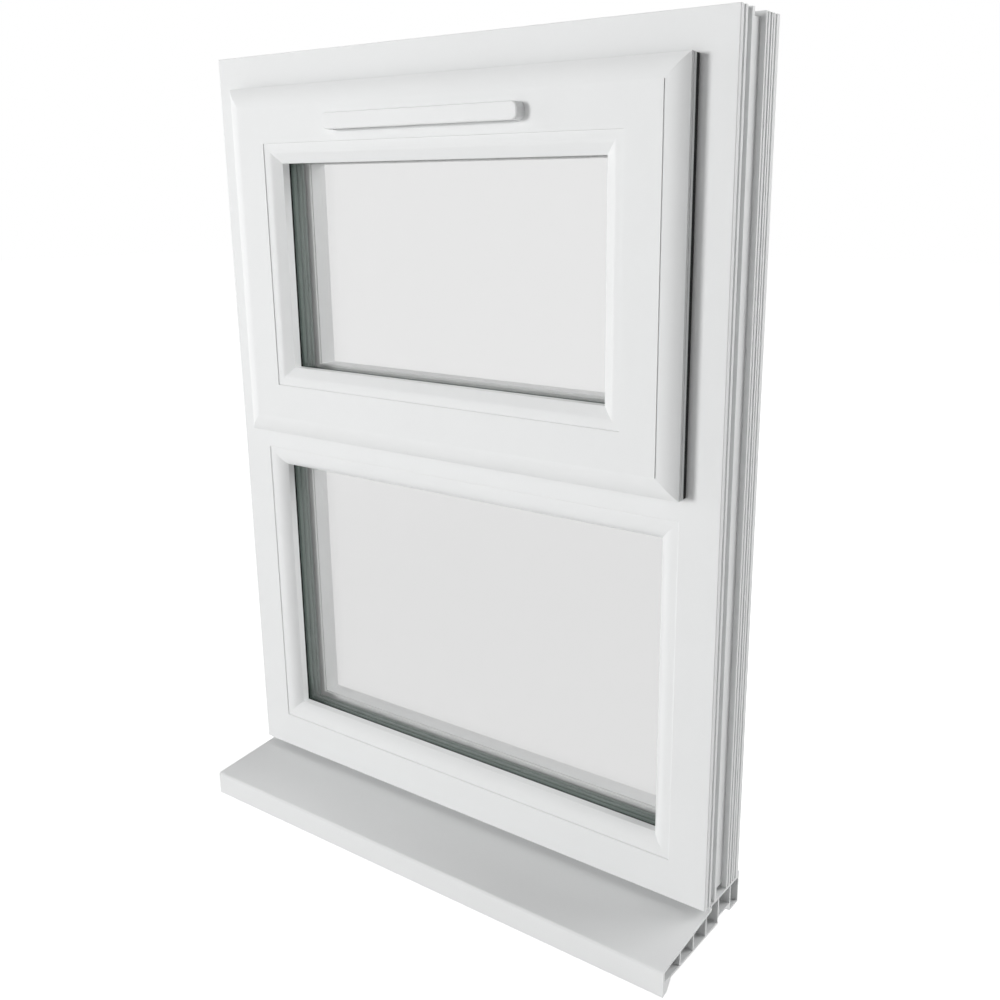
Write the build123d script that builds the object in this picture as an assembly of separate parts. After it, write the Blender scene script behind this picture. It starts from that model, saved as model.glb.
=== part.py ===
from build123d import *
import math
import os

# Top-hung window in white uPVC: opening light over a fixed light, on a projecting sill.
# X runs along the width, Y from outdoors to the room, Z up from the bedding face of the sill.

# Outer frame
frame_width = 610.0
frame_height = 790.0
frame_depth = 70.0
sill_height = 30.0
face_width = 40.5
sight_width = 60.0
wall = 2.5
leg_start = 50.0
arris = 0.6
leg_radius = 1.6
outer_chamber_inset = 8.0
front_chamber_depth = 17.0
web_y = 19.5

# Grooves in the outer edge of the frame, each as start, end and depth
lip_groove = (5.0, 8.4, 3.0)
front_groove = (12.0, 19.5, 4.0)
fixing_recess = (23.5, 44.5, 5.0)
rear_groove = (46.8, 49.4, 2.0)
shallow_groove = (52.0, 55.2, 1.0)
clip_groove = (57.4, 59.4, 2.0)
back_groove = (62.0, 64.8, 2.5)
front_grooves = (lip_groove, front_groove, fixing_recess)
rear_grooves = (rear_groove, shallow_groove, clip_groove, back_groove)

# Transom
transom_face = 30.4
transom_height = 390.0

# Sash
sash_inset = 33.0
sash_proud = 22.5
sash_gap = 2.5
sash_body_inset = 52.5
sash_face = 75.0
flange_back = -6.5
ovolo_width = 19.5
ovolo_drop = 8.2
ovolo_step = 1.0
edge_groove = (3.2, 4.6, 0.8)

# Glazing, the fixed beads an ovolo and the sash beads a flat land with a sloping face
bead_depth = 16.0
fixed_bead_land = 5.2
sash_bead_land = 6.5
sash_bead_bend = 4.0
sash_bead_slope = 30.0
bead_seat = 0.1
bead_foot_start = 6.0
bead_foot_width = 2.6
bead_foot_depth = 2.6
bead_foot_clearance = 0.2
gasket = 3.0
gasket_height = 5.6
gasket_inset = 0.4
pane = 4.0
unit_depth = 28.0
unit_gap = 4.5
spacer_rise = 4.5
spacer_height = 6.6
spacer_wall = 0.5
packer_length = 60.0
packer_corner = 70.0

# Seals between sash and frame
seal_start = 0.4
seal_width = 5.0
seal_clearance = 0.2
inner_seal_start = 53.0
inner_seal_width = 4.0

# Sill section
sill_nose = 77.0
sill_nose_top = 13.5
sill_nose_radius = 3.0
sill_drip = 12.6
sill_drip_back = 69.6
sill_drip_back_drop = 10.8
sill_drip_root = 62.4
sill_slope_end = 13.0
sill_slope_top = 24.5
sill_upstand = 5.0
sill_upstand_wall = 2.5
sill_wall = 2.0
sill_first_web = -46.0
sill_web_pitch = 25.0
sill_recess_rise = 7.0
sill_hook_root = 46.0
sill_front_wall = 3.0

# Friction stays, the pivots given by depth and by drop below the top of a sash body of the design height
stay_design_height = 320.3
arm_pivot_y = 12.8
arm_pivot_drop = 257.5
arm_eye_y = 41.8
arm_eye_drop = 53.1
link_pivot_y = 9.3
link_pivot_drop = 49.2
link_eye_y = 27.8
link_eye_drop = 10.3
stay_plate = 2.0
stay_arm = 2.5
stay_bar = 2.0
stay_gap = 0.3
arm_width = 13.0
pivot_radius = 3.0
pivot_clearance = 0.05
eye_clearance = 0.5
boss_radius = 5.0
track_edge = 3.0
track_width = 20.0
track_margin = 12.0
bar_edge = 19.5
bar_width = 27.5
bar_bottom_drop = 97.5
bar_top_drop = 1.5
plate_chamfer = 3.0
track_screw_drops = (232.5, 157.5, 82.5)
bar_screw_drops = (84.5, 32.5)
track_screw_y = 17.0
bar_screw_y = 26.0

# Screws, each as head radius, head depth, shank radius and length
plate_screw = (3.8, 0.9, 2.0, 16.0)
handle_screw = (4.2, 2.4, 2.4, 18.0)
screw_sides = 8
rivet_sides = 12

# Lock in the bottom rail of the sash
strip_length = 384.0
strip_width = 16.0
strip_thickness = 2.5
strip_front = 14.0
strip_fit = 0.1
rod_width = 11.0
rod_thickness = 2.6
rod_margin = 26.0
rod_fit = 0.3
backset = 22.0
throw = 20.0
cam_offset = 150.0
cam_radius = 4.5
cam_neck_radius = 3.0
cam_reach = 7.5
slot_fit = 0.6
keep_length = 44.0
keep_width = 24.0
keep_thickness = 2.2
keep_hook = 18.0
keep_hook_wall = 3.0
keep_hook_height = 8.5
keep_play = 0.6
keep_screw_offset = 16.0
keep_screw_y = 30.0
keep_front = 10.0
case_length = 42.0
case_wall = 1.8
case_top = 11.0
gear_teeth = 16
gear_pressure_angle = 20.0
gear_backlash = 0.25
gear_root_clearance = 0.4
gear_side_clearance = 0.4
gear_hub_radius = 8.0
gear_sector_before = 6
gear_sector_after = 2
hub_bearing_radius = 6.0
bearing_clearance = 0.06
spindle_side = 7.0
spindle_fit = 0.1
spindle_hole = 6.5
spindle_start = 14.0
rack_margin = 12.0

# Handle on the room side of the bottom rail
handle_base_length = 62.0
handle_base_width = 24.0
handle_base_depth = 10.0
handle_base_radius = 4.0
handle_base_chamfer = 1.6
handle_neck_radius = 7.5
handle_neck_clearance = 0.08
handle_gap = 0.3
lever_length = 112.0
lever_width = 17.0
lever_tip_width = 13.0
lever_depth = 11.0
lever_offset = 4.0
lever_chamfer = 2.4
handle_screw_offset = 22.0

# Trickle vent in the sash head
canopy_length = 235.0
canopy_height = 15.6
canopy_depth = 11.6
canopy_drop = 70.7
canopy_wall = 1.6
canopy_radius = 6.0
canopy_edge = 0.9
hood_corner = 3.0
vent_slot_length = 190.0
vent_slot_height = 8.0
vent_slot_drop = 72.0
vent_body_length = 240.0
vent_body_height = 21.0
vent_body_depth = 4.0
vent_cheek = 9.0
vent_cheek_depth = 10.5
flap_thickness = 2.2
flap_gap = 0.4
flap_height = 17.0
flap_pin_radius = 1.4
flap_pin_length = 5.0
flap_pin_rise = 2.6
flap_knuckle_radius = 2.3
flap_pin_clearance = 0.05
flap_grip = 3.0

# Levels and edges that follow from the sizes above
half_width = frame_width / 2
frame_bottom = sill_height
frame_top = sill_height + frame_height
saw_reach = frame_width
transom_z = frame_bottom + transom_height
transom_half = transom_face / 2
leg_rise = sight_width - face_width
jamb_x = half_width - face_width
sash_half = half_width - sash_inset
sash_top = frame_top - sash_inset
sash_bottom = transom_z + transom_half + sash_inset - face_width
sash_back = leg_start - sash_gap
sash_lap = sash_body_inset - sash_inset
sash_side = half_width - sash_body_inset
sash_floor = sash_bottom + sash_lap
sash_ceiling = sash_top - sash_lap
main_chamber_end = leg_start - wall
sash_platform = sash_face - ovolo_width
sash_leg_start = leg_start - sash_proud
fixed_half = jamb_x
fixed_bottom = frame_bottom + face_width
fixed_top = transom_z - transom_half
glazed_half = sash_half - sash_platform
glazed_bottom = sash_bottom + sash_platform
glazed_top = sash_top - sash_platform


def block(x_range, y_range, z_range):
    size = [high - low for low, high in (x_range, y_range, z_range)]
    middle = [(high + low) / 2 for low, high in (x_range, y_range, z_range)]
    return Pos(*middle) * Box(*size)


def bar_x(x_start, x_end, y, z, radius):
    body = Cylinder(radius, abs(x_end - x_start), rotation=(0, 90, 0))
    return Pos((x_start + x_end) / 2, y, z) * body


def bar_y(y_start, y_end, x, z, radius):
    body = Cylinder(radius, abs(y_end - y_start), rotation=(90, 0, 0))
    return Pos(x, (y_start + y_end) / 2, z) * body


def bar_z(z_start, z_end, x, y, radius):
    return Pos(x, y, (z_start + z_end) / 2) * Cylinder(radius, abs(z_end - z_start))


def area(*points):
    return make_face(Polyline(*points, close=True))


def oblong(low, high):
    return area(low, (high[0], low[1]), high, (low[0], high[1]))


def nearest(sketch, corner):
    return sketch.vertices().sort_by_distance((*corner, 0))[0]


def rounded(sketch, corner, radius):
    return fillet(nearest(sketch, corner), radius)


def eased(sketch, corner):
    return chamfer(nearest(sketch, corner), arris)


def flat_prism(points):
    return extrude(Plane.XZ * area(*points), amount=saw_reach, both=True)


def mitred_lengths(section, half, bottom, top, reach):
    """Four mitred lengths of one section, its first axis running inwards from the rectangle's edge."""
    width = 2 * half
    height = top - bottom
    left = extrude(Plane((-half, 0, bottom), x_dir=(1, 0, 0), z_dir=(0, 0, 1)) * section, amount=height)
    head = extrude(Plane((-half, 0, top), x_dir=(0, 0, -1), z_dir=(1, 0, 0)) * section, amount=width)
    right = extrude(Plane((half, 0, top), x_dir=(-1, 0, 0), z_dir=(0, 0, -1)) * section, amount=height)
    foot = extrude(Plane((half, 0, bottom), x_dir=(0, 0, 1), z_dir=(-1, 0, 0)) * section, amount=width)
    inner_half = half - reach
    inner_bottom = bottom + reach
    inner_top = top - reach
    low_left = ((-half, bottom), (-inner_half, inner_bottom))
    high_left = ((-half, top), (-inner_half, inner_top))
    low_right = ((half, bottom), (inner_half, inner_bottom))
    high_right = ((half, top), (inner_half, inner_top))
    left &= flat_prism([*low_left, *reversed(high_left)])
    right &= flat_prism([*low_right, *reversed(high_right)])
    head &= flat_prism([*high_left, *reversed(high_right)])
    foot &= flat_prism([*low_left, *reversed(low_right)])
    return {"left": left, "right": right, "head": head, "foot": foot}


def ring(half, bottom, top, start, width, y_range):
    """A rectangular ring that starts inside the given rectangle."""
    inner = start + width
    outside = block((start - half, half - start), y_range, (bottom + start, top - start))
    inside = block((inner - half, half - inner), y_range, (bottom + inner, top - inner))
    return outside - inside


def ovolo_curve(root, tip):
    """Convex arc that leaves its root flat and falls to the tip."""
    return TangentArc(root, tip, tangent=(1 if tip[0] > root[0] else -1, 0))


def screw(place, direction, size):
    """Flat-headed screw driven in from the middle of its head, the thread left plain."""
    head_radius, head_depth, radius, length = size
    plane = Plane(place, z_dir=direction)
    head = extrude(plane * RegularPolygon(head_radius, screw_sides), amount=head_depth)
    return head + extrude(plane * RegularPolygon(radius, screw_sides), amount=length)


def keep_node(shape, name):
    export_step(shape, "parts/" + name + ".step")


def both_sides(shape, name):
    keep_node(shape, name + "_right")
    keep_node(mirror(shape, about=Plane.YZ), name + "_left")


os.makedirs("parts", exist_ok=True)

# Outer frame: one hollow section with a room-side leg, its outer edge ribbed for clips and couplings
frame_section = area(
    (0, 0),
    (face_width, 0),
    (face_width, leg_start),
    (sight_width, leg_start),
    (sight_width, frame_depth),
    (0, frame_depth),
)
frame_section = eased(frame_section, (0, 0))
frame_section = eased(frame_section, (face_width, 0))
frame_section = rounded(frame_section, (sight_width, frame_depth), leg_radius)
for groove_start, groove_end, groove_depth in front_grooves + rear_grooves:
    frame_section -= oblong((0, groove_start), (groove_depth, groove_end))
bead_foot_end = bead_foot_start + bead_foot_width
foot_low = bead_foot_start - bead_foot_clearance
foot_high = bead_foot_end + bead_foot_clearance
foot_floor = bead_foot_depth + bead_foot_clearance
frame_section -= oblong((face_width - foot_floor, foot_low), (face_width, foot_high))
chamber_top = face_width - wall
front_chamber_top = chamber_top - foot_floor
leg_chamber_start = leg_start + wall
frame_section -= oblong((outer_chamber_inset, wall), (front_chamber_top, front_chamber_depth))
frame_section -= oblong((outer_chamber_inset, web_y), (chamber_top, main_chamber_end))
frame_section -= oblong((outer_chamber_inset, leg_chamber_start), (sight_width - wall, frame_depth - wall))
frame = mitred_lengths(frame_section, half_width, frame_bottom, frame_top, sight_width)

# Transom: the same section doubled about its middle, its V ends let into the jambs
leg_edge = transom_half + leg_rise
transom_section = oblong((-transom_half, 0), (transom_half, leg_start))
transom_section = transom_section + oblong((-leg_edge, leg_start), (leg_edge, frame_depth))
transom_section = rounded(transom_section, (-leg_edge, frame_depth), leg_radius)
transom_section = rounded(transom_section, (leg_edge, frame_depth), leg_radius)
transom_section = eased(transom_section, (transom_half, 0))
transom_section = eased(transom_section, (-transom_half, 0))
transom_section -= oblong((-transom_half, foot_low), (foot_floor - transom_half, foot_high))
transom_core = transom_half - wall
transom_section -= oblong((foot_floor - transom_core, wall), (transom_core, front_chamber_depth))
transom_section -= oblong((-transom_core, web_y), (transom_core, main_chamber_end))
transom_section -= oblong((wall - leg_edge, leg_chamber_start), (leg_edge - wall, frame_depth - wall))
vee_x = half_width - face_width + transom_half
transom_plane = Plane((-vee_x, 0, transom_z), x_dir=(0, 0, -1), z_dir=(1, 0, 0))
transom = extrude(transom_plane * transom_section, amount=2 * vee_x)
vee_x_inner = vee_x - leg_edge
vee_points = [
    (-vee_x, transom_z),
    (-vee_x_inner, transom_z + leg_edge),
    (vee_x_inner, transom_z + leg_edge),
    (vee_x, transom_z),
    (vee_x_inner, transom_z - leg_edge),
    (-vee_x_inner, transom_z - leg_edge),
]
vee = flat_prism(vee_points)
transom = transom & vee
jamb = frame["right"] - vee
keep_node(frame["head"], "frame_head")
keep_node(frame["foot"], "frame_bottom_rail")

# Sill: a hollow length with six chambers, a drip nose and an upstand behind the frame
sill_back = frame_depth + sill_upstand_wall
web_lines = [sill_first_web + sill_web_pitch * step for step in range(5)]
recess_front = web_lines[3]
recess_back = web_lines[4]
sill_section = area(
    (-sill_nose, sill_nose_top),
    (sill_slope_end, sill_slope_top),
    (sill_slope_end, sill_height),
    (frame_depth, sill_height),
    (frame_depth, sill_height + sill_upstand),
    (sill_back, sill_height + sill_upstand),
    (sill_back, 0),
    (recess_back, 0),
    (sill_hook_root, sill_recess_rise),
    (recess_front, sill_recess_rise),
    (recess_front, 0),
    (-sill_drip_root, 0),
    (-sill_drip_back, -sill_drip_back_drop),
    (-sill_nose, -sill_drip),
)
sill_section = rounded(sill_section, (-sill_nose, sill_nose_top), sill_nose_radius)
slope = (sill_slope_top - sill_nose_top) / (sill_slope_end + sill_nose)


def slope_at(y):
    return sill_nose_top + slope * (y + sill_nose) - sill_wall


chamber_starts = [sill_front_wall - sill_nose] + [line + sill_wall / 2 for line in web_lines]
chamber_ends = [line - sill_wall / 2 for line in web_lines] + [sill_back - sill_wall]
seat_under = sill_height - sill_wall
for chamber_start, chamber_end in zip(chamber_starts[0:3], chamber_ends[0:3]):
    sill_section -= area(
        (chamber_start, sill_wall),
        (chamber_end, sill_wall),
        (chamber_end, slope_at(chamber_end)),
        (chamber_start, slope_at(chamber_start)),
    )
fourth_start = chamber_starts[3]
fourth_end = chamber_ends[3]
sill_section -= area(
    (fourth_start, sill_wall),
    (fourth_end, sill_wall),
    (fourth_end, seat_under),
    (sill_slope_end + sill_wall, seat_under),
    (sill_slope_end + sill_wall, slope_at(sill_slope_end)),
    (fourth_start, slope_at(fourth_start)),
)
sill_section -= oblong((chamber_starts[4], sill_recess_rise + sill_wall), (chamber_ends[4], seat_under))
sill_section -= oblong((chamber_starts[5], sill_wall), (chamber_ends[5], seat_under))
sill_plane = Plane((-half_width, 0, 0), x_dir=(0, 1, 0), z_dir=(1, 0, 0))
keep_node(extrude(sill_plane * sill_section, amount=frame_width), "sill")

# Sash: hollow section with an ovolo lip that laps the frame and a room-side glazing leg
lip_front = ovolo_drop - sash_proud
quirk_floor = ovolo_step - sash_proud
sash_edges = [
    ovolo_curve((ovolo_width, quirk_floor), (0, lip_front)),
    Polyline(
        (0, lip_front),
        (0, flange_back),
        (sash_lap, flange_back),
        (sash_lap, sash_back),
        (sash_face, sash_back),
        (sash_face, sash_leg_start),
        (sash_platform, sash_leg_start),
        (sash_platform, -sash_proud),
        (ovolo_width, -sash_proud),
        (ovolo_width, quirk_floor),
    ),
]
sash_section = make_face(sash_edges)
sash_section = rounded(sash_section, (sash_face, sash_back), leg_radius)
groove_start, groove_end, groove_depth = edge_groove
sash_section -= oblong((0, lip_front + groove_start), (groove_depth, lip_front + groove_end))
sash_foot_low = foot_low - sash_proud
sash_foot_high = foot_high - sash_proud
sash_section -= oblong((sash_platform - foot_floor, sash_foot_low), (sash_platform, sash_foot_high))
sash_core_start = sash_lap + wall
sash_core_end = sash_platform - wall
sash_front_chamber = wall - sash_proud
sash_web = web_y - sash_proud
sash_section -= oblong((sash_core_start, sash_front_chamber), (sash_core_end - foot_floor, sash_web - wall))
sash_section -= oblong((sash_core_start, sash_web), (sash_core_end, sash_leg_start - wall))
sash_section -= oblong((sash_core_start, sash_leg_start + wall), (sash_face - wall, sash_back - wall))
sash = mitred_lengths(sash_section, sash_half, sash_bottom, sash_top, sash_face)
vent_slot_z = frame_top - vent_slot_drop
slot_half = vent_slot_length / 2
slot_top = vent_slot_z + vent_slot_height / 2
slot_bottom = vent_slot_z - vent_slot_height / 2
through_sash = (-2 * sash_proud, frame_depth)
vent_slot = block((-slot_half, slot_half), through_sash, (slot_bottom, slot_top))
keep_node(sash["head"] - vent_slot, "sash_head")
stile = sash["right"]
bottom_rail = sash["foot"]

# Beads: mitred lengths that clip into the platform grooves


def bead_section(land, crown, tip):
    """A flat land and the crown that falls from it to the tip, over a foot that clips in."""
    body = Polyline(
        tip,
        (ovolo_width, bead_depth),
        (bead_seat, bead_depth),
        (bead_seat, bead_foot_end),
        (-bead_foot_depth, bead_foot_end),
        (-bead_foot_depth, bead_foot_start),
        (bead_seat, bead_foot_start),
        (bead_seat, ovolo_step),
        (land, ovolo_step),
    )
    return make_face([*crown, body])


fixed_tip = (ovolo_width, ovolo_drop)
fixed_crown = [ovolo_curve((fixed_bead_land, ovolo_step), fixed_tip)]
fixed_bead_section = bead_section(fixed_bead_land, fixed_crown, fixed_tip)
fixed_beads = mitred_lengths(fixed_bead_section, fixed_half, fixed_bottom, fixed_top, ovolo_width)
fall = math.radians(sash_bead_slope)
bend_width = sash_bead_land + sash_bead_bend
bend = (bend_width, ovolo_step + sash_bead_bend * math.tan(fall / 2))
sash_tip = (ovolo_width, bend[1] + (ovolo_width - bend_width) * math.tan(fall))
sash_crown = [ovolo_curve((sash_bead_land, ovolo_step), bend), Line(bend, sash_tip)]
sash_bead_section = Pos(0, -sash_proud) * bead_section(sash_bead_land, sash_crown, sash_tip)
sash_beads = mitred_lengths(sash_bead_section, glazed_half, glazed_bottom, glazed_top, ovolo_width)
bead_names = {"left": "left", "right": "right", "head": "top", "foot": "bottom"}
for side, bead_name in bead_names.items():
    keep_node(fixed_beads[side], "fixed_bead_" + bead_name)
    keep_node(sash_beads[side], "sash_bead_" + bead_name)

# Double glazing: two panes, a hollow spacer bar, gaskets on both faces and packers round the edge


def glazing(name, half, bottom, top, depth):
    front = depth + bead_depth + gasket
    spacer_start = unit_gap + spacer_rise
    gasket_start = ovolo_width - gasket_inset - gasket_height
    unit_x = (unit_gap - half, half - unit_gap)
    unit_z = (bottom + unit_gap, top - unit_gap)
    back = front + unit_depth
    gap_range = (front + pane, back - pane)
    keep_node(block(unit_x, (front, front + pane), unit_z), name + "_outer_pane")
    keep_node(block(unit_x, (back - pane, back), unit_z), name + "_inner_pane")
    bar = ring(half, bottom, top, spacer_start, spacer_height, gap_range)
    hollow_range = (gap_range[0] + spacer_wall, gap_range[1] - spacer_wall)
    hollow_height = spacer_height - 2 * spacer_wall
    bar -= ring(half, bottom, top, spacer_start + spacer_wall, hollow_height, hollow_range)
    keep_node(bar, name + "_spacer_bar")
    front_range = (front - gasket, front)
    back_range = (back, back + gasket)
    keep_node(ring(half, bottom, top, gasket_start, gasket_height, front_range), name + "_outer_gasket")
    keep_node(ring(half, bottom, top, gasket_start, gasket_height, back_range), name + "_inner_gasket")
    corner = half - packer_corner
    packers = []
    unit_range = (front, back)
    for centre in (-corner, corner):
        spread = (centre - packer_length / 2, centre + packer_length / 2)
        packers.append(block(spread, unit_range, (bottom, bottom + unit_gap)))
        packers.append(block(spread, unit_range, (top - unit_gap, top)))
    middle = (bottom + top) / 2
    upright = (middle - packer_length / 2, middle + packer_length / 2)
    packers.append(block((-half, unit_gap - half), unit_range, upright))
    packers.append(block((half - unit_gap, half), unit_range, upright))
    keep_node(Compound(children=packers), name + "_packers")


glazing("fixed", fixed_half, fixed_bottom, fixed_top, 0)
glazing("sash", glazed_half, glazed_bottom, glazed_top, -sash_proud)

# Seals: an outer bulb behind the sash lip and an inner strip on the room-side leg of the frame
seal_range = (flange_back, -seal_clearance)
keep_node(ring(sash_half, sash_bottom, sash_top, seal_start, seal_width, seal_range), "sash_weather_seal")
opening_bottom = transom_z + transom_half - face_width
inner_range = (sash_back + seal_clearance, leg_start)
inner_ring = ring(half_width, opening_bottom, frame_top, inner_seal_start, inner_seal_width, inner_range)
keep_node(inner_ring, "frame_inner_seal")

# Friction stays, drawn on the right: frame track, long arm, short arm and sash bar in four layers
stay_scale = (sash_ceiling - sash_floor) / stay_design_height
arm_pivot_z = sash_ceiling - arm_pivot_drop * stay_scale
arm_eye_z = sash_ceiling - arm_eye_drop * stay_scale
link_pivot_z = sash_ceiling - link_pivot_drop * stay_scale
link_eye_z = sash_ceiling - link_eye_drop * stay_scale
track_x = jamb_x - stay_plate
link_outer = track_x - stay_gap
link_inner = link_outer - stay_arm
arm_outer = link_inner - stay_gap
arm_inner = arm_outer - stay_arm
bar_x_face = sash_side + stay_bar


def rivet(x_start, x_end, y, z, radius):
    plane = Plane((x_start, y, z), z_dir=(1, 0, 0))
    return extrude(plane * RegularPolygon(radius, rivet_sides), amount=x_end - x_start)


def stadium(x_range, start, end, width):
    """Flat bar with round ends between two points of the Y-Z plane."""
    length = math.dist(start, end)
    angle = math.degrees(math.atan2(end[1] - start[1], end[0] - start[0]))
    outline = Pos(length / 2, 0) * SlotOverall(length + width, width)
    plane = Plane((x_range[0], *start), x_dir=(0, 1, 0), z_dir=(1, 0, 0))
    return extrude(plane * (Rot(0, 0, angle) * outline), amount=x_range[1] - x_range[0])


def side_plate(x_range, y_range, z_range):
    plate = block(x_range, y_range, z_range)
    return chamfer(plate.edges().filter_by(Axis.X), plate_chamfer)


track_z = (arm_pivot_z - track_margin, link_pivot_z + track_margin)
track = side_plate((track_x, jamb_x), (track_edge, track_edge + track_width), track_z)
track += rivet(track_x, arm_outer + stay_gap, arm_pivot_y, arm_pivot_z, boss_radius)
track += bar_x(track_x, arm_inner, arm_pivot_y, arm_pivot_z, pivot_radius)
track += bar_x(track_x, link_inner, link_pivot_y, link_pivot_z, pivot_radius)
stay_bar_z = (sash_ceiling - bar_bottom_drop * stay_scale, sash_ceiling - bar_top_drop)
sash_bar = side_plate((sash_side, bar_x_face), (bar_edge, bar_edge + bar_width), stay_bar_z)
sash_bar += rivet(bar_x_face, arm_inner - stay_gap, arm_eye_y, arm_eye_z, boss_radius)
sash_bar += bar_x(bar_x_face, arm_outer, arm_eye_y, arm_eye_z, pivot_radius)
sash_bar += rivet(bar_x_face, link_inner - stay_gap, link_eye_y, link_eye_z, boss_radius)
sash_bar += bar_x(bar_x_face, link_outer, link_eye_y, link_eye_z, pivot_radius)
track_screws = []
sash_screws = []
for drop in track_screw_drops:
    track_screw = screw((track_x, track_screw_y, sash_ceiling - drop * stay_scale), (1, 0, 0), plate_screw)
    track -= track_screw
    jamb -= track_screw
    track_screws.append(track_screw)
for drop in bar_screw_drops:
    sash_screw = screw((bar_x_face, bar_screw_y, sash_ceiling - drop * stay_scale), (-1, 0, 0), plate_screw)
    sash_bar -= sash_screw
    stile -= sash_screw
    sash_screws.append(sash_screw)
both_sides(jamb, "frame_jamb")
both_sides(stile, "sash_stile")
both_sides(track, "stay_track")
both_sides(sash_bar, "stay_sash_bar")
running_radius = pivot_radius + pivot_clearance
arm_start = (arm_pivot_y, arm_pivot_z)
arm_end = (arm_eye_y, arm_eye_z)
long_arm = stadium((arm_inner, arm_outer), arm_start, arm_end, arm_width)
long_arm -= bar_x(arm_inner, arm_outer, arm_pivot_y, arm_pivot_z, running_radius)
long_arm -= bar_x(arm_inner, arm_outer, arm_eye_y, arm_eye_z, running_radius)
both_sides(long_arm, "stay_long_arm")
link_start = (link_pivot_y, link_pivot_z)
link_end = (link_eye_y, link_eye_z)
short_arm = stadium((link_inner, link_outer), link_start, link_end, arm_width)
short_arm -= bar_x(link_inner, link_outer, link_pivot_y, link_pivot_z, running_radius)
short_arm -= bar_x(link_inner, link_outer, link_eye_y, link_eye_z, pivot_radius + eye_clearance)
both_sides(short_arm, "stay_short_arm")
track_screws += [mirror(track_screw, about=Plane.YZ) for track_screw in track_screws]
sash_screws += [mirror(sash_screw, about=Plane.YZ) for sash_screw in sash_screws]
keep_node(Compound(children=track_screws), "stay_track_screws")
keep_node(Compound(children=sash_screws), "stay_sash_screws")

# Lock: a face strip flush with the underside of the bottom rail, with a drive rod sliding behind it
strip_half = strip_length / 2
strip_y = (strip_front, strip_front + strip_width)
strip_top = sash_floor + strip_thickness
rod_y_middle = strip_front + strip_width / 2
rod_y = (rod_y_middle - rod_width / 2, rod_y_middle + rod_width / 2)
rod_bottom = strip_top + rod_fit
rod_top = rod_bottom + rod_thickness
rest_shift = -throw / 2
rod_half = strip_half - rod_margin
cam_rest = (-cam_offset + rest_shift, cam_offset + rest_shift)
strip = block((-strip_half, strip_half), strip_y, (sash_floor, strip_top))
slot_reach = cam_neck_radius + slot_fit
rod = block((rest_shift - rod_half, rest_shift + rod_half), rod_y, (rod_bottom, rod_top))
cam_top = sash_floor - rod_fit
cam_bottom = sash_floor - cam_reach
for cam_x in cam_rest:
    slot_x = (cam_x - slot_reach, cam_x + throw + slot_reach)
    slot_y = (rod_y_middle - slot_reach, rod_y_middle + slot_reach)
    strip -= block(slot_x, slot_y, (sash_floor, strip_top))
    rod += bar_z(cam_top, rod_bottom, cam_x, rod_y_middle, cam_neck_radius)
    rod += bar_z(cam_bottom, cam_top, cam_x, rod_y_middle, cam_radius)
keep_node(strip, "lock_face_strip")

# Drive: a sector of a sixteen-tooth pinion on the spindle moves a rack on the rod, 20 mm for a quarter turn
gear_radius = throw / (math.pi / 2)
gear_module = 2 * gear_radius / gear_teeth
gear_tip = gear_radius + gear_module
gear_root = gear_radius - gear_module - gear_root_clearance
pressure = math.radians(gear_pressure_angle)
base_radius = gear_radius * math.cos(pressure)
spindle_z = sash_floor + backset
flank_shares = (0.0, 0.5, 1.0)


def involute(angle):
    return math.tan(angle) - angle


def flank_angle(radius):
    """Half angle of a tooth at a radius, on the involute of the base circle."""
    half_pitch = math.pi / (2 * gear_teeth) - gear_backlash / (2 * gear_radius)
    return half_pitch + involute(pressure) - involute(math.acos(min(1.0, base_radius / radius)))


def polar(radius, angle):
    return (radius * math.sin(angle), -radius * math.cos(angle))


def tooth(angle):
    foot = max(base_radius, gear_root)
    radii = [foot + (gear_tip - foot) * share for share in flank_shares]
    inner = gear_root - gear_root_clearance
    rising = [polar(radius, angle - flank_angle(radius)) for radius in radii]
    falling = [polar(radius, angle + flank_angle(radius)) for radius in reversed(radii)]
    root_half = flank_angle(foot)
    return area(polar(inner, angle - root_half), *rising, *falling, polar(inner, angle + root_half))


tooth_step = 2 * math.pi / gear_teeth
sector_start = -tooth_step * gear_sector_before
sector_end = tooth_step * gear_sector_after
sector_middle = (sector_start + sector_end) / 2
arc_points = [polar(gear_root, sector_start), polar(gear_root, sector_middle), polar(gear_root, sector_end)]
sector = make_face([ThreePointArc(*arc_points), Polyline(arc_points[2], (0, 0), arc_points[0])])
gear_outline = Circle(gear_hub_radius) + sector
for index in range(1 - gear_sector_before, gear_sector_after):
    gear_outline += tooth(index * tooth_step)
case_y = (strip_front + case_wall, strip_front + strip_width - case_wall)
gear_y = (case_y[0] + gear_side_clearance, case_y[1] - gear_side_clearance)
gear_plane = Plane((0, gear_y[1], spindle_z), x_dir=(1, 0, 0), z_dir=(0, -1, 0))
pinion = extrude(gear_plane * gear_outline, amount=gear_y[1] - gear_y[0])
pinion += bar_y(strip_y[0], strip_y[1], 0, spindle_z, hub_bearing_radius)
square_half = spindle_side / 2 + spindle_fit
square_z = (spindle_z - square_half, spindle_z + square_half)
pinion -= block((-square_half, square_half), strip_y, square_z)
keep_node(pinion, "lock_pinion")
rack_pitch = math.pi * gear_module
rack_line = spindle_z - gear_radius
rack_tip = rack_line + gear_module
rack_root = rack_line - gear_module - gear_root_clearance
rack_half = rack_pitch / 4 - gear_backlash / 2
rack_lean = math.tan(pressure)
rack_x = (-throw - rack_margin, rack_margin)
rod += block(rack_x, rod_y, (rod_top, rack_root))
rack_plane = Plane((0, rod_y[1], 0), x_dir=(1, 0, 0), z_dir=(0, -1, 0))
first_tooth = math.ceil(rack_x[0] / rack_pitch)
last_tooth = math.floor(rack_x[1] / rack_pitch)
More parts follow.
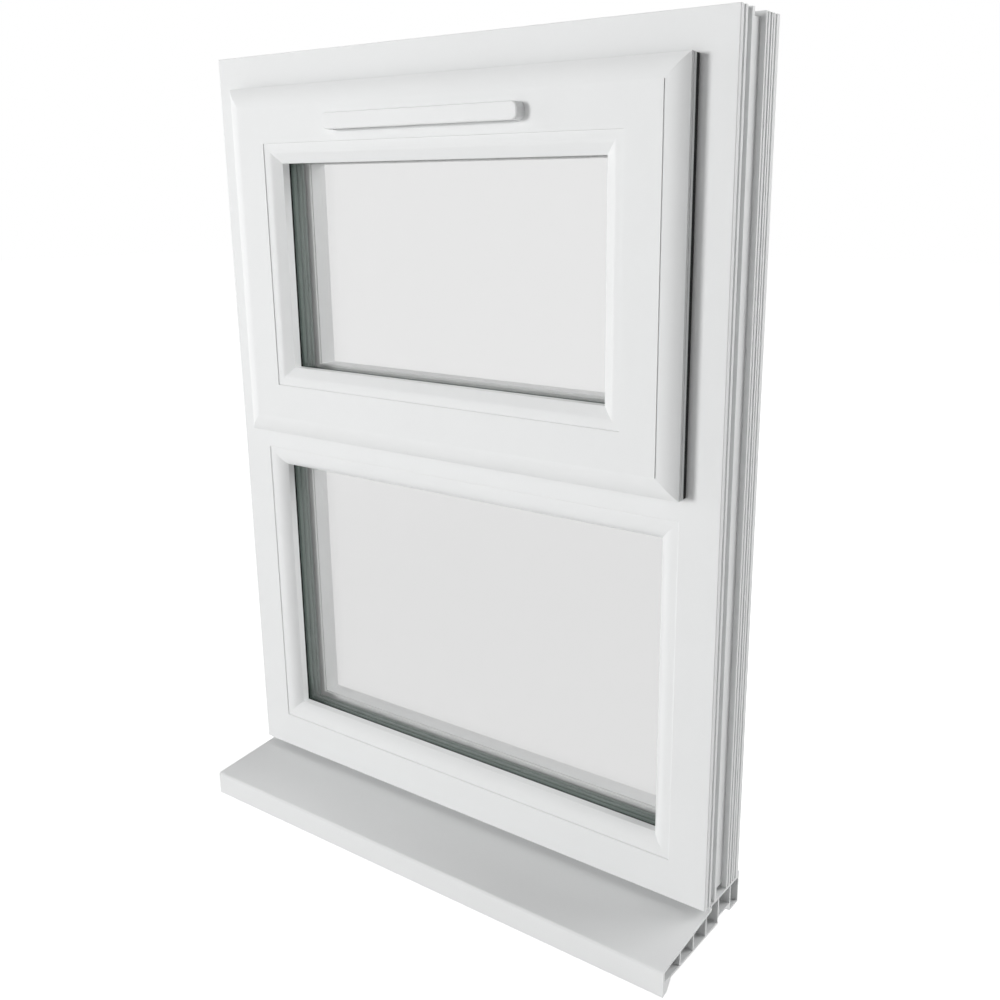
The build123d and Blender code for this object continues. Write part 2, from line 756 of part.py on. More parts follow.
root_half_width = rack_half + (rack_line - rack_root) * rack_lean
tip_half_width = rack_half - (rack_tip - rack_line) * rack_lean
for index in range(first_tooth, last_tooth):
    middle = (index + 1 / 2) * rack_pitch
    outline = area(
        (middle - root_half_width, rod_top),
        (middle - root_half_width, rack_root),
        (middle - tip_half_width, rack_tip),
        (middle + tip_half_width, rack_tip),
        (middle + root_half_width, rack_root),
        (middle + root_half_width, rod_top),
    )
    rod += extrude(rack_plane * outline, amount=rod_width)
keep_node(rod, "lock_drive_rod")

# Gear case: two cheeks joined over the pinion, open at its ends for the rack
case_half = case_length / 2
case_bottom = rod_top + rod_fit
case_ceiling = spindle_z + case_top
case = block((-case_half, case_half), strip_y, (case_bottom, case_ceiling))
case -= block((-case_half, case_half), case_y, (case_bottom, case_ceiling - case_wall))
case -= bar_y(strip_y[0], strip_y[1], 0, spindle_z, hub_bearing_radius + bearing_clearance)
keep_node(case, "lock_gear_case")

# Bottom rail of the sash, routed for the lock and drilled for the spindle and the handle screws
pocket_y = (strip_y[0] - strip_fit, strip_y[1] + strip_fit)
strip_pocket_x = (-strip_half - strip_fit, strip_half + strip_fit)
bottom_rail -= block(strip_pocket_x, pocket_y, (sash_floor, case_bottom))
rack_reach = throw + rack_margin + rod_fit
bottom_rail -= block((-rack_reach, rack_reach), pocket_y, (sash_floor, rack_tip + rod_fit))
case_pocket_x = (-case_half - strip_fit, case_half + strip_fit)
bottom_rail -= block(case_pocket_x, pocket_y, (sash_floor, case_ceiling + strip_fit))
bottom_rail -= bar_y(strip_y[1], sash_back, 0, spindle_z, spindle_hole)

# Keeps on the transom, hooked in front of the cams when the handle is turned
platform_z = transom_z + transom_half
keep_top = platform_z + keep_thickness
keep_y = (keep_front, keep_front + keep_width)
hook_back = rod_y_middle - cam_radius - keep_play
keep_screws = []
for side, cam_x in zip(("left", "right"), cam_rest):
    locked_x = cam_x + throw
    plate = block((locked_x - keep_length / 2, locked_x + keep_length / 2), keep_y, (platform_z, keep_top))
    plate = chamfer(plate.edges().filter_by(Axis.Z), plate_chamfer)
    hook_x = (locked_x - keep_hook / 2, locked_x + keep_hook / 2)
    hook_y = (hook_back - keep_hook_wall, hook_back)
    plate += block(hook_x, hook_y, (platform_z, platform_z + keep_hook_height))
    for screw_place in (locked_x - keep_screw_offset, locked_x + keep_screw_offset):
        keep_screw = screw((screw_place, keep_screw_y, keep_top), (0, 0, -1), plate_screw)
        plate -= keep_screw
        transom -= keep_screw
        keep_screws.append(keep_screw)
    keep_node(plate, "lock_keep_" + side)
keep_node(Compound(children=keep_screws), "lock_keep_screws")
keep_node(transom, "transom")

# Handle: base plate on the room face of the rail, lever with a round neck, square spindle
base_back = sash_back + handle_base_depth
base_half = handle_base_length / 2
base_z = (spindle_z - handle_base_width / 2, spindle_z + handle_base_width / 2)
base = block((-base_half, base_half), (sash_back, base_back), base_z)
base = fillet(base.edges().filter_by(Axis.Y), handle_base_radius)
base = chamfer(base.faces().sort_by(Axis.Y)[-1].edges(), handle_base_chamfer)
base -= bar_y(sash_back, base_back, 0, spindle_z, handle_neck_radius + handle_neck_clearance)
handle_screws = []
for screw_side in (-1, 1):
    base_screw = screw((screw_side * handle_screw_offset, base_back, spindle_z), (0, -1, 0), handle_screw)
    base -= base_screw
    bottom_rail -= base_screw
    handle_screws.append(base_screw)
keep_node(base, "handle_base")
keep_node(Compound(children=handle_screws), "handle_screws")
keep_node(bottom_rail, "sash_bottom_rail")
lever_front = base_back + lever_offset
lever_back = lever_front + lever_depth
lever_outline = area(
    (-lever_width / 2, spindle_z - lever_width / 2),
    (lever_length, spindle_z - lever_tip_width / 2),
    (lever_length, spindle_z + lever_tip_width / 2),
    (-lever_width / 2, spindle_z + lever_width / 2),
)
lever_plane = Plane((0, lever_back, 0), x_dir=(1, 0, 0), z_dir=(0, -1, 0))
lever = extrude(lever_plane * lever_outline, amount=lever_depth)
lever = chamfer(lever.edges(), lever_chamfer)
lever += bar_y(sash_back + handle_gap, lever_back - lever_chamfer, 0, spindle_z, handle_neck_radius)
spindle_half = spindle_side / 2
spindle_range = (spindle_z - spindle_half, spindle_z + spindle_half)
spindle = block((-spindle_half, spindle_half), (spindle_start, base_back), spindle_range)
lever -= block((-spindle_half, spindle_half), (sash_back, base_back), spindle_range)
keep_node(lever, "handle_lever")
keep_node(spindle, "handle_spindle")

# Trickle vent: a hooded canopy outdoors, a body and a hinged flap on the room side
canopy_z = frame_top - canopy_drop
canopy_half = canopy_length / 2
canopy_rise = canopy_height / 2
canopy_plane = Plane((0, -sash_proud, canopy_z), x_dir=(1, 0, 0), z_dir=(0, -1, 0))
canopy_outline = RectangleRounded(canopy_length, canopy_height, canopy_radius)
canopy = extrude(canopy_plane * canopy_outline, amount=canopy_depth)
canopy = chamfer(canopy.faces().sort_by(Axis.Y)[0].edges(), canopy_edge)
hood_length = canopy_length - 2 * canopy_wall
hood_height = canopy_height - 2 * canopy_wall
hood = chamfer(Rectangle(hood_length, hood_height).vertices(), hood_corner)
hood_depth = canopy_depth - canopy_wall
canopy -= extrude(canopy_plane * hood, amount=hood_depth)
mouth_half = canopy_half - canopy_radius
mouth_y = (-sash_proud - hood_depth, -sash_proud)
canopy -= block((-mouth_half, mouth_half), mouth_y, (canopy_z - canopy_rise, canopy_z))
keep_node(canopy, "vent_canopy")
body_half = vent_body_length / 2
body_z = (vent_slot_z - vent_body_height / 2, vent_slot_z + vent_body_height / 2)
body_back = sash_back + vent_body_depth
cheek_back = sash_back + vent_cheek_depth
cheek_x = body_half - vent_cheek
vent_body = block((-body_half, body_half), (sash_back, body_back), body_z)
vent_body += block((-body_half, -cheek_x), (sash_back, cheek_back), body_z)
vent_body += block((cheek_x, body_half), (sash_back, cheek_back), body_z)
vent_body -= block((-slot_half, slot_half), (sash_back, body_back), (slot_bottom, slot_top))
flap_axis_y = body_back + flap_gap + flap_knuckle_radius
flap_axis_z = body_z[0] + flap_pin_rise
flap_half = cheek_x - flap_gap
pin_reach = flap_half + flap_pin_length
pin_bore = flap_pin_radius + flap_pin_clearance
vent_body -= bar_x(cheek_x, pin_reach + flap_gap, flap_axis_y, flap_axis_z, pin_bore)
vent_body -= bar_x(-cheek_x, -pin_reach - flap_gap, flap_axis_y, flap_axis_z, pin_bore)
keep_node(vent_body, "vent_body")
flap_y = (body_back + flap_gap, body_back + flap_gap + flap_thickness)
flap_top = flap_axis_z + flap_height
flap = block((-flap_half, flap_half), flap_y, (flap_axis_z, flap_top))
flap += bar_x(-flap_half, flap_half, flap_axis_y, flap_axis_z, flap_knuckle_radius)
flap += bar_x(-pin_reach, pin_reach, flap_axis_y, flap_axis_z, flap_pin_radius)
grip_y = (flap_y[0], flap_y[1] + flap_grip)
flap += block((-flap_half, flap_half), grip_y, (flap_top - flap_thickness, flap_top))
keep_node(flap, "vent_flap")
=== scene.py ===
import math

import bmesh
import bpy
from bpy.props import FloatProperty, FloatVectorProperty, IntProperty, PointerProperty, StringProperty
from bpy.types import Operator, Panel, PropertyGroup
from mathutils import Matrix, Vector


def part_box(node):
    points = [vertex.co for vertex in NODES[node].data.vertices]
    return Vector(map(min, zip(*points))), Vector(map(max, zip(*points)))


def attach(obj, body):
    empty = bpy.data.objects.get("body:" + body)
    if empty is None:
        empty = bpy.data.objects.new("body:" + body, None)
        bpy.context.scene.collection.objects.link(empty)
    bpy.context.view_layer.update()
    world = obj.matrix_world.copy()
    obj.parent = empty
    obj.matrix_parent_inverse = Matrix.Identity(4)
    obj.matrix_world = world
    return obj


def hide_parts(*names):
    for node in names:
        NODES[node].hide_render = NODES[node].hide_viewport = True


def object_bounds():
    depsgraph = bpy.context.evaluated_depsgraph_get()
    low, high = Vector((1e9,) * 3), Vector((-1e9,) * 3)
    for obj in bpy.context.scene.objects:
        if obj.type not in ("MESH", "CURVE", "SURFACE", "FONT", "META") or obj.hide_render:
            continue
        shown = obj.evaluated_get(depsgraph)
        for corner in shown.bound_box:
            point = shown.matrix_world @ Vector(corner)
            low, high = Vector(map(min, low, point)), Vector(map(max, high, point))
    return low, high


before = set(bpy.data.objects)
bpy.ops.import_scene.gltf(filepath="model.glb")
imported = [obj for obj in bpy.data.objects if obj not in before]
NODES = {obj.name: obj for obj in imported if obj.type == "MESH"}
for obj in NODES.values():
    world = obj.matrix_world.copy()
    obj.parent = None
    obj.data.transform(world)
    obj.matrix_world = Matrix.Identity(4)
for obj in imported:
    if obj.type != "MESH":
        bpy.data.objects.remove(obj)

bl_info = {
    "name": "Top-hung window dressing",
    "version": (1, 0, 0),
    "blender": (4, 5, 0),
    "location": "View3D > Sidebar > Window",
    "description": "Finishes, seals, glazing, ironmongery and a white stage for a uPVC top-hung window",
    "category": "Object",
}

CAD_BOX = [list(corner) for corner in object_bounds()]
MM = 0.001
MERGE_DISTANCE = 0.001 * MM
SHARP_ANGLE = math.radians(38.0)
WHITE = (1.0, 1.0, 1.0, 1.0)

# Where the ribs of a spacer bar meet, as shares of its depth, and the steps across one rib
RIB_SHARES = (0.0, 0.42, 0.73, 1.0)
RIB_STEPS = 6

# Bubble seal behind the sash lip, as shares of its width and depth: straight sides and a round nose
BULB_SHARES = (
    (0, 0), (1, 0), (1, 0.8), (0.96, 0.9), (0.82, 0.97), (0.5, 1), (0.18, 0.97), (0.04, 0.9), (0, 0.8),
)

# Low seal on the frame, as shares of its width and depth: a rounded back for the sash to close on
FLIPPER_SHARES = (
    (0, 1), (1, 1), (1, 0.45), (0.85, 0.12), (0.55, 0), (0.3, 0.1), (0.1, 0.4), (0, 0.7),
)

# A screw's recess narrows to its floor and the shank to its point
RECESS_FLOOR_SHARE = 0.72
POINT_SHARE = 0.4

# Depth and height of the lever at its tip, as shares of those at its neck
LEVER_TIP_SHARES = (0.86, 0.765)

# Soft lamps as name, place, side and power: the key and a weaker lamp stand to the left, a weak one in
# front, one overhead, and three on the room side light the reveals, the sill and the right-hand edges
LAMPS = (
    ("key_left", (-2.7, -5.31, 1.1), 1.6, 207.0),
    ("side_left", (-2.91, -0.51, 0.94), 2.0, 21.0),
    ("front_fill", (0.25, -1.3, 0.86), 0.7, 3.1),
    ("overhead", (0.0, -0.2, 3.4), 2.4, 11.0),
    ("high_behind", (0.1, 1.5, 3.0), 2.4, 22.0),
    ("right_behind", (2.13, 1.79, 1.54), 2.0, 58.0),
    ("room_behind", (0.08, 1.0, 0.7), 0.5, 2.6),
)

# Lengths that run upright, lengths that run level, and the pieces that are moulded
UPRIGHT_LENGTHS = (
    "frame_jamb_left", "frame_jamb_right", "sash_stile_left", "sash_stile_right",
    "fixed_bead_left", "fixed_bead_right", "sash_bead_left", "sash_bead_right",
)
LEVEL_LENGTHS = (
    "frame_head", "frame_bottom_rail", "transom", "sill", "sash_head", "sash_bottom_rail",
    "fixed_bead_top", "fixed_bead_bottom", "sash_bead_top", "sash_bead_bottom",
)
VENT_MOULDINGS = ("vent_canopy", "vent_body", "vent_flap")
PANES = ("fixed_outer_pane", "fixed_inner_pane", "sash_outer_pane", "sash_inner_pane")
STAY_STEEL = (
    "stay_track_left", "stay_track_right", "stay_sash_bar_left", "stay_sash_bar_right",
    "stay_long_arm_left", "stay_long_arm_right", "stay_short_arm_left", "stay_short_arm_right",
)
LOCK_STEEL = ("lock_face_strip", "lock_drive_rod", "lock_pinion", "handle_spindle")
LOCK_CASTINGS = ("lock_gear_case", "lock_keep_left", "lock_keep_right")


class WindowFinish(PropertyGroup):
    """Colours of the window's materials, as they are seen in even light."""

    upvc: StringProperty(name="uPVC", description="White of the extruded lengths", default="#EFF0F0")
    moulding: StringProperty(name="Vent", description="White of the trickle vent", default="#F0F1F1")
    enamel: StringProperty(name="Handle enamel", description="White of the handle", default="#F1F1EF")
    glass: StringProperty(name="Glass", description="Tint of one pane", default="#F2F2F2")
    spacer: StringProperty(name="Spacer bar", description="Grey of the spacer bars", default="#77857F")
    rubber: StringProperty(name="Black rubber", description="Outer gaskets and seals", default="#1B1C1C")
    inner_gasket: StringProperty(name="Pale gasket", description="Room-side gaskets", default="#ECEDEC")
    packer: StringProperty(name="Packers", description="Packers round the glass", default="#4E6A86")
    steel: StringProperty(name="Stainless steel", description="Stays and their screws", default="#C3C2BF")
    plated: StringProperty(name="Plated steel", description="Rod and strip of lock", default="#B7B9B4")
    casting: StringProperty(name="Zinc casting", description="Gear case and keeps", default="#A2A4A6")


class WindowFitting(PropertyGroup):
    """Sizes of the details that the dressing adds."""

    gasket_height: FloatProperty(
        name="Gasket height", description="Height of a glazing gasket", default=5.6 * MM, unit="LENGTH")
    spacer_height: FloatProperty(
        name="Spacer height", description="Height of a spacer bar", default=6.6 * MM, unit="LENGTH")
    spacer_groove: FloatProperty(
        name="Spacer groove", description="Depth of the rolled grooves", default=0.9 * MM, unit="LENGTH")
    seal_width: FloatProperty(
        name="Seal width", description="Width of the weather seal", default=5.0 * MM, unit="LENGTH")
    inner_seal_width: FloatProperty(
        name="Inner seal width", description="Width of the frame's seal", default=4.0 * MM, unit="LENGTH")
    head_radius: FloatProperty(
        name="Screw head", description="Radius of a plate screw's head", default=3.75 * MM, unit="LENGTH")
    head_depth: FloatProperty(
        name="Head depth", description="Depth of a plate screw's head", default=0.9 * MM, unit="LENGTH")
    handle_head_depth: FloatProperty(
        name="Handle head", description="Depth of a handle screw's head", default=2.2 * MM, unit="LENGTH")
    shank_radius: FloatProperty(
        name="Screw shank", description="Radius of the shank", default=1.95 * MM, unit="LENGTH")
    recess: FloatProperty(
        name="Cross recess", description="Span of the driver recess", default=3.6 * MM, unit="LENGTH")
    recess_depth: FloatProperty(
        name="Recess depth", description="Depth of the driver recess", default=1.1 * MM, unit="LENGTH")
    point_length: FloatProperty(
        name="Screw point", description="Length of a screw's point", default=2.0 * MM, unit="LENGTH")
    plate_screw_ends: FloatProperty(
        name="Plate ends", description="A plate screw less its shank", default=4.0 * MM, unit="LENGTH")
    handle_screw_ends: FloatProperty(
        name="Handle ends", description="A handle screw less its shank", default=5.0 * MM, unit="LENGTH")
    lever_rounding: FloatProperty(
        name="Lever rounding", description="Radius of the lever's edges", default=3.2 * MM, unit="LENGTH")
    lever_depth: FloatProperty(
        name="Lever depth", description="Depth of the lever at the neck", default=11.0 * MM,
        unit="LENGTH")
    neck_radius: FloatProperty(
        name="Neck radius", description="Radius of the lever's neck", default=7.5 * MM, unit="LENGTH")
    neck_inset: FloatProperty(
        name="Neck inset", description="From the lever's face to the neck's end", default=3.0 * MM,
        unit="LENGTH")
    rounding_steps: IntProperty(
        name="Rounding steps", description="Faces across a rounded edge", default=5, min=1)
    neck_sides: IntProperty(
        name="Neck sides", description="Faces round the neck", default=48, min=8)
    screw_sides: IntProperty(
        name="Screw sides", description="Faces round a screw head", default=24, min=8)


class WindowStage(PropertyGroup):
    """Camera, light and floor."""

    camera_place: FloatVectorProperty(
        name="Camera", description="Place of the camera", default=(0.70203, -0.80577, 0.67629),
        subtype="XYZ", unit="LENGTH")
    camera_aim: FloatVectorProperty(
        name="Camera aim", description="Direction of view", default=(-0.5563136, 0.7898386, -0.2582056),
        subtype="DIRECTION")
    lens: FloatProperty(name="Lens", description="Focal length in millimetres", default=39.278)
    sensor: FloatProperty(name="Sensor", description="Width of the sensor in millimetres", default=36.0)
    shift: FloatVectorProperty(
        name="Shift", description="Shift of the lens", default=(-0.05618, -0.00866), size=2)
    room_light: FloatProperty(name="Room light", description="Strength of the even light", default=0.02)
    lamp_level: FloatProperty(name="Lamp level", description="Share of every lamp's power", default=1.0)
    lamp_aim: FloatVectorProperty(
        name="Lamp aim", description="Point that the lamps face", default=(0.0, 0.0, 0.42),
        subtype="XYZ", unit="LENGTH")
    floor: StringProperty(name="Floor", description="Paint of the floor", default="#DCDCDC")
    floor_half: FloatProperty(
        name="Floor half", description="Half the side of the floor", default=12.0, unit="LENGTH")
    near: FloatProperty(
        name="Near floor", description="Where the floor starts to turn white", default=0.8, unit="LENGTH")
    far: FloatProperty(
        name="Far floor", description="Where the floor is white to the eye", default=2.4, unit="LENGTH")
    far_in_glass: FloatProperty(
        name="Far floor in glass", description="Where the glass shows white", default=3.0, unit="LENGTH")
    near_glow: FloatProperty(name="Near glow", description="White added to the near floor", default=0.7)
    # Painted shade: the floor as the glass shows it glows greyer close to the window, for its shadow
    near_shade_in_glass: FloatProperty(
        name="Near floor in glass", description="White of the near floor in the glass", default=0.93)


def linear(hex_colour):
    """Linear colour of an sRGB hex value."""
    channels = [int(hex_colour[start:start + 2], 16) / 255 for start in (1, 3, 5)]
    return tuple(c / 12.92 if c <= 0.04045 else ((c + 0.055) / 1.055) ** 2.4 for c in channels) + (1.0,)


def dimmed(colour, share):
    """Linear colour brought down to a share of its brightness."""
    return tuple(channel * share for channel in colour[:3]) + (1.0,)


def per_metre(millimetres):
    """Texture scale for a pattern that repeats at this size."""
    return 1000.0 / millimetres


def add_node(tree, kind, inputs=None, **settings):
    """Add one node; its inputs are plain values or the sockets that feed them."""
    node = tree.nodes.new(kind)
    for name, value in settings.items():
        setattr(node, name, value)
    for name, value in (inputs or {}).items():
        if isinstance(value, bpy.types.NodeSocket):
            tree.links.new(value, node.inputs[name])
        else:
            node.inputs[name].default_value = value
    return node


def blank_material(name):
    """New material with an empty node tree."""
    material = bpy.data.materials.new(name)
    material.use_nodes = True
    material.node_tree.nodes.clear()
    return material, material.node_tree


# Extruded rigid PVC: a clean satin white, with faint die lines drawn along the length and a soft unevenness
# of the sheen. Real die lines are hundredths of a millimetre apart and are drawn coarser here, to show.
def extruded_upvc(name, colour, level):
    material, tree = blank_material(name)
    coordinates = add_node(tree, "ShaderNodeTexCoord").outputs["Object"]
    line = per_metre(1.6)
    run = per_metre(400.0)
    stretch = (run, line, line) if level else (line, line, run)
    along = add_node(tree, "ShaderNodeMapping", {"Vector": coordinates, "Scale": stretch})
    lines = add_node(
        tree, "ShaderNodeTexNoise",
        {"Vector": along.outputs["Vector"], "Scale": 1.0, "Detail": 3.0, "Roughness": 0.6})
    cloud = add_node(
        tree, "ShaderNodeTexNoise", {"Vector": coordinates, "Scale": per_metre(90.0), "Detail": 2.0})
    grain = add_node(
        tree, "ShaderNodeTexNoise", {"Vector": coordinates, "Scale": per_metre(0.9), "Detail": 1.0})
    pale = linear(colour)
    shaded = dimmed(pale, 0.975)
    tone = add_node(
        tree, "ShaderNodeMix", {"Factor": cloud.outputs["Fac"], "A": pale, "B": shaded}, data_type="RGBA")
    sheen = add_node(
        tree, "ShaderNodeMapRange", {"Value": lines.outputs["Fac"], "To Min": 0.27, "To Max": 0.41})
    fine = add_node(
        tree, "ShaderNodeBump", {"Height": grain.outputs["Fac"], "Strength": 0.05, "Distance": 0.02 * MM})
    drawn = add_node(
        tree, "ShaderNodeBump",
        {"Height": lines.outputs["Fac"], "Strength": 0.12, "Distance": 0.03 * MM,
         "Normal": fine.outputs["Normal"]})
    shader = add_node(
        tree, "ShaderNodeBsdfPrincipled",
        {"Base Color": tone.outputs["Result"], "Roughness": sheen.outputs["Result"], "IOR": 1.53,
         "Normal": drawn.outputs["Normal"]})
    add_node(tree, "ShaderNodeOutputMaterial", {"Surface": shader.outputs["BSDF"]})
    return material


# Moulded plastic of the vent and the packers: a fine spark-eroded grain and no lines.
def moulded_abs(name, colour):
    material, tree = blank_material(name)
    coordinates = add_node(tree, "ShaderNodeTexCoord").outputs["Object"]
    grain = add_node(
        tree, "ShaderNodeTexNoise", {"Vector": coordinates, "Scale": per_metre(0.7), "Detail": 2.0})
    cloud = add_node(
        tree, "ShaderNodeTexNoise", {"Vector": coordinates, "Scale": per_metre(60.0), "Detail": 1.0})
    pale = linear(colour)
    shaded = dimmed(pale, 0.975)
    tone = add_node(
        tree, "ShaderNodeMix", {"Factor": cloud.outputs["Fac"], "A": pale, "B": shaded}, data_type="RGBA")
    sheen = add_node(
        tree, "ShaderNodeMapRange", {"Value": grain.outputs["Fac"], "To Min": 0.36, "To Max": 0.48})
    bump = add_node(
        tree, "ShaderNodeBump", {"Height": grain.outputs["Fac"], "Strength": 0.1, "Distance": 0.03 * MM})
    shader = add_node(
        tree, "ShaderNodeBsdfPrincipled",
        {"Base Color": tone.outputs["Result"], "Roughness": sheen.outputs["Result"], "IOR": 1.52,
         "Normal": bump.outputs["Normal"]})
    add_node(tree, "ShaderNodeOutputMaterial", {"Surface": shader.outputs["BSDF"]})
    return material


# Baked enamel on the cast handle: a harder gloss than the plastic, with the faint ripple of a sprayed coat.
def sprayed_enamel(name, colour):
    material, tree = blank_material(name)
    coordinates = add_node(tree, "ShaderNodeTexCoord").outputs["Object"]
    ripple = add_node(
        tree, "ShaderNodeTexNoise", {"Vector": coordinates, "Scale": per_metre(2.2), "Detail": 1.0})
    sheen = add_node(
        tree, "ShaderNodeMapRange", {"Value": ripple.outputs["Fac"], "To Min": 0.2, "To Max": 0.3})
    bump = add_node(
        tree, "ShaderNodeBump", {"Height": ripple.outputs["Fac"], "Strength": 0.15, "Distance": 0.05 * MM})
    shader = add_node(
        tree, "ShaderNodeBsdfPrincipled",
        {"Base Color": linear(colour), "Roughness": sheen.outputs["Result"], "IOR": 1.5, "Coat Weight": 0.3,
         "Coat Roughness": 0.12, "Normal": bump.outputs["Normal"]})
    add_node(tree, "ShaderNodeOutputMaterial", {"Surface": shader.outputs["BSDF"]})
    return material


# Float glass: clear and almost colourless. Lamps pass through it, so that the reveals behind stay lit.
def float_glass(name, colour):
    material, tree = blank_material(name)
    shader = add_node(
        tree, "ShaderNodeBsdfPrincipled",
        {"Base Color": linear(colour), "Roughness": 0.0, "IOR": 1.52, "Transmission Weight": 1.0})
    clear = add_node(tree, "ShaderNodeBsdfTransparent", {"Color": WHITE})
    path = add_node(tree, "ShaderNodeLightPath")
    lit = add_node(
        tree, "ShaderNodeMath", {0: path.outputs["Is Shadow Ray"], 1: path.outputs["Is Diffuse Ray"]},
        operation="MAXIMUM")
    mixed = add_node(
        tree, "ShaderNodeMixShader",
        {"Fac": lit.outputs["Value"], 1: shader.outputs["BSDF"], 2: clear.outputs["BSDF"]})
    add_node(tree, "ShaderNodeOutputMaterial", {"Surface": mixed.outputs["Shader"]})
    return material


# Rolled aluminium of the spacer bars: dull grey with fine rolling lines round the pane.
def rolled_aluminium(name, colour):
    material, tree = blank_material(name)
    coordinates = add_node(tree, "ShaderNodeTexCoord").outputs["Object"]
    across = add_node(
        tree, "ShaderNodeMapping",
        {"Vector": coordinates, "Scale": (per_metre(60.0), per_metre(0.8), per_metre(60.0))})
    lines = add_node(
        tree, "ShaderNodeTexNoise", {"Vector": across.outputs["Vector"], "Scale": 1.0, "Detail": 2.0})
    base = linear(colour)
    shaded = dimmed(base, 0.72)
    tone = add_node(
        tree, "ShaderNodeMix", {"Factor": lines.outputs["Fac"], "A": base, "B": shaded}, data_type="RGBA")
    sheen = add_node(
        tree, "ShaderNodeMapRange", {"Value": lines.outputs["Fac"], "To Min": 0.24, "To Max": 0.4})
    shader = add_node(
        tree, "ShaderNodeBsdfPrincipled",
        {"Base Color": tone.outputs["Result"], "Metallic": 0.55, "Roughness": sheen.outputs["Result"]})
    add_node(tree, "ShaderNodeOutputMaterial", {"Surface": shader.outputs["BSDF"]})
    return material


# Extruded rubber: matt, with a dusty bloom in patches and a slightly uneven skin.
def extruded_rubber(name, colour, bloom):
    material, tree = blank_material(name)
    coordinates = add_node(tree, "ShaderNodeTexCoord").outputs["Object"]
    skin = add_node(
        tree, "ShaderNodeTexNoise", {"Vector": coordinates, "Scale": per_metre(0.8), "Detail": 2.0})
    dust = add_node(
        tree, "ShaderNodeTexNoise", {"Vector": coordinates, "Scale": per_metre(14.0), "Detail": 3.0})
    base = linear(colour)
    dusty = tuple(min(1.0, channel + bloom) for channel in base[:3]) + (1.0,)
    tone = add_node(
        tree, "ShaderNodeMix", {"Factor": dust.outputs["Fac"], "A": base, "B": dusty}, data_type="RGBA")
    bump = add_node(
        tree, "ShaderNodeBump", {"Height": skin.outputs["Fac"], "Strength": 0.2, "Distance": 0.05 * MM})
    shader = add_node(
        tree, "ShaderNodeBsdfPrincipled",
        {"Base Color": tone.outputs["Result"], "Roughness": 0.78, "Specular IOR Level": 0.25,
         "Normal": bump.outputs["Normal"]})
    add_node(tree, "ShaderNodeOutputMaterial", {"Surface": shader.outputs["BSDF"]})
    return material


# Pressed steel, stainless or plated: brushed along the bars, so highlights draw out across them.
def brushed_steel(name, colour, level, rough_low, rough_high):
    material, tree = blank_material(name)
    coordinates = add_node(tree, "ShaderNodeTexCoord").outputs["Object"]
    line = per_metre(0.5)
    run = per_metre(30.0)
    stretch = (run, line, line) if level else (line, line, run)
    along = add_node(tree, "ShaderNodeMapping", {"Vector": coordinates, "Scale": stretch})
    lines = add_node(
        tree, "ShaderNodeTexNoise", {"Vector": along.outputs["Vector"], "Scale": 1.0, "Detail": 3.0})
    base = linear(colour)
    shaded = dimmed(base, 0.82)
    tone = add_node(
        tree, "ShaderNodeMix", {"Factor": lines.outputs["Fac"], "A": base, "B": shaded}, data_type="RGBA")
    sheen = add_node(
        tree, "ShaderNodeMapRange",
        {"Value": lines.outputs["Fac"], "To Min": rough_low, "To Max": rough_high})
    bump = add_node(
        tree, "ShaderNodeBump", {"Height": lines.outputs["Fac"], "Strength": 0.15, "Distance": 0.02 * MM})
    shader = add_node(
        tree, "ShaderNodeBsdfPrincipled",
        {"Base Color": tone.outputs["Result"], "Metallic": 1.0, "Roughness": sheen.outputs["Result"],
         "Normal": bump.outputs["Normal"]})
    add_node(tree, "ShaderNodeOutputMaterial", {"Surface": shader.outputs["BSDF"]})
    return material


# Die-cast zinc: a dull grey metal with a cloudy cast skin.
def cast_zinc(name, colour):
    material, tree = blank_material(name)
    coordinates = add_node(tree, "ShaderNodeTexCoord").outputs["Object"]
    skin = add_node(
        tree, "ShaderNodeTexNoise", {"Vector": coordinates, "Scale": per_metre(2.5), "Detail": 4.0})
    base = linear(colour)
    shaded = dimmed(base, 0.8)
    tone = add_node(
        tree, "ShaderNodeMix", {"Factor": skin.outputs["Fac"], "A": base, "B": shaded}, data_type="RGBA")
    sheen = add_node(
        tree, "ShaderNodeMapRange", {"Value": skin.outputs["Fac"], "To Min": 0.38, "To Max": 0.6})
    bump = add_node(
        tree, "ShaderNodeBump", {"Height": skin.outputs["Fac"], "Strength": 0.25, "Distance": 0.08 * MM})
    shader = add_node(
        tree, "ShaderNodeBsdfPrincipled",
        {"Base Color": tone.outputs["Result"], "Metallic": 1.0, "Roughness": sheen.outputs["Result"],
         "Normal": bump.outputs["Normal"]})
    add_node(tree, "ShaderNodeOutputMaterial", {"Surface": shader.outputs["BSDF"]})
    return material


def paint(nodes, material):
    """Give CAD nodes a material."""
    for name in nodes:
        mesh = NODES[name].data
        mesh.materials.clear()
        mesh.materials.append(material)


def place_piece(bm, name, body, material, nodes):
    """Close a mesh, smooth its round faces and fix it to a body in place of the nodes it stands for."""
    bmesh.ops.remove_doubles(bm, verts=bm.verts, dist=MERGE_DISTANCE)
    bmesh.ops.recalc_face_normals(bm, faces=bm.faces)
    mesh = bpy.data.meshes.new(name)
    bm.to_mesh(mesh)
    bm.free()
    mesh.materials.append(material)
    mesh.polygons.foreach_set("use_smooth", [True] * len(mesh.polygons))
    mesh.set_sharp_from_angle(angle=SHARP_ANGLE)
    piece = bpy.data.objects.new(name, mesh)
    bpy.context.scene.collection.objects.link(piece)
    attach(piece, body)
    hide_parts(*nodes)


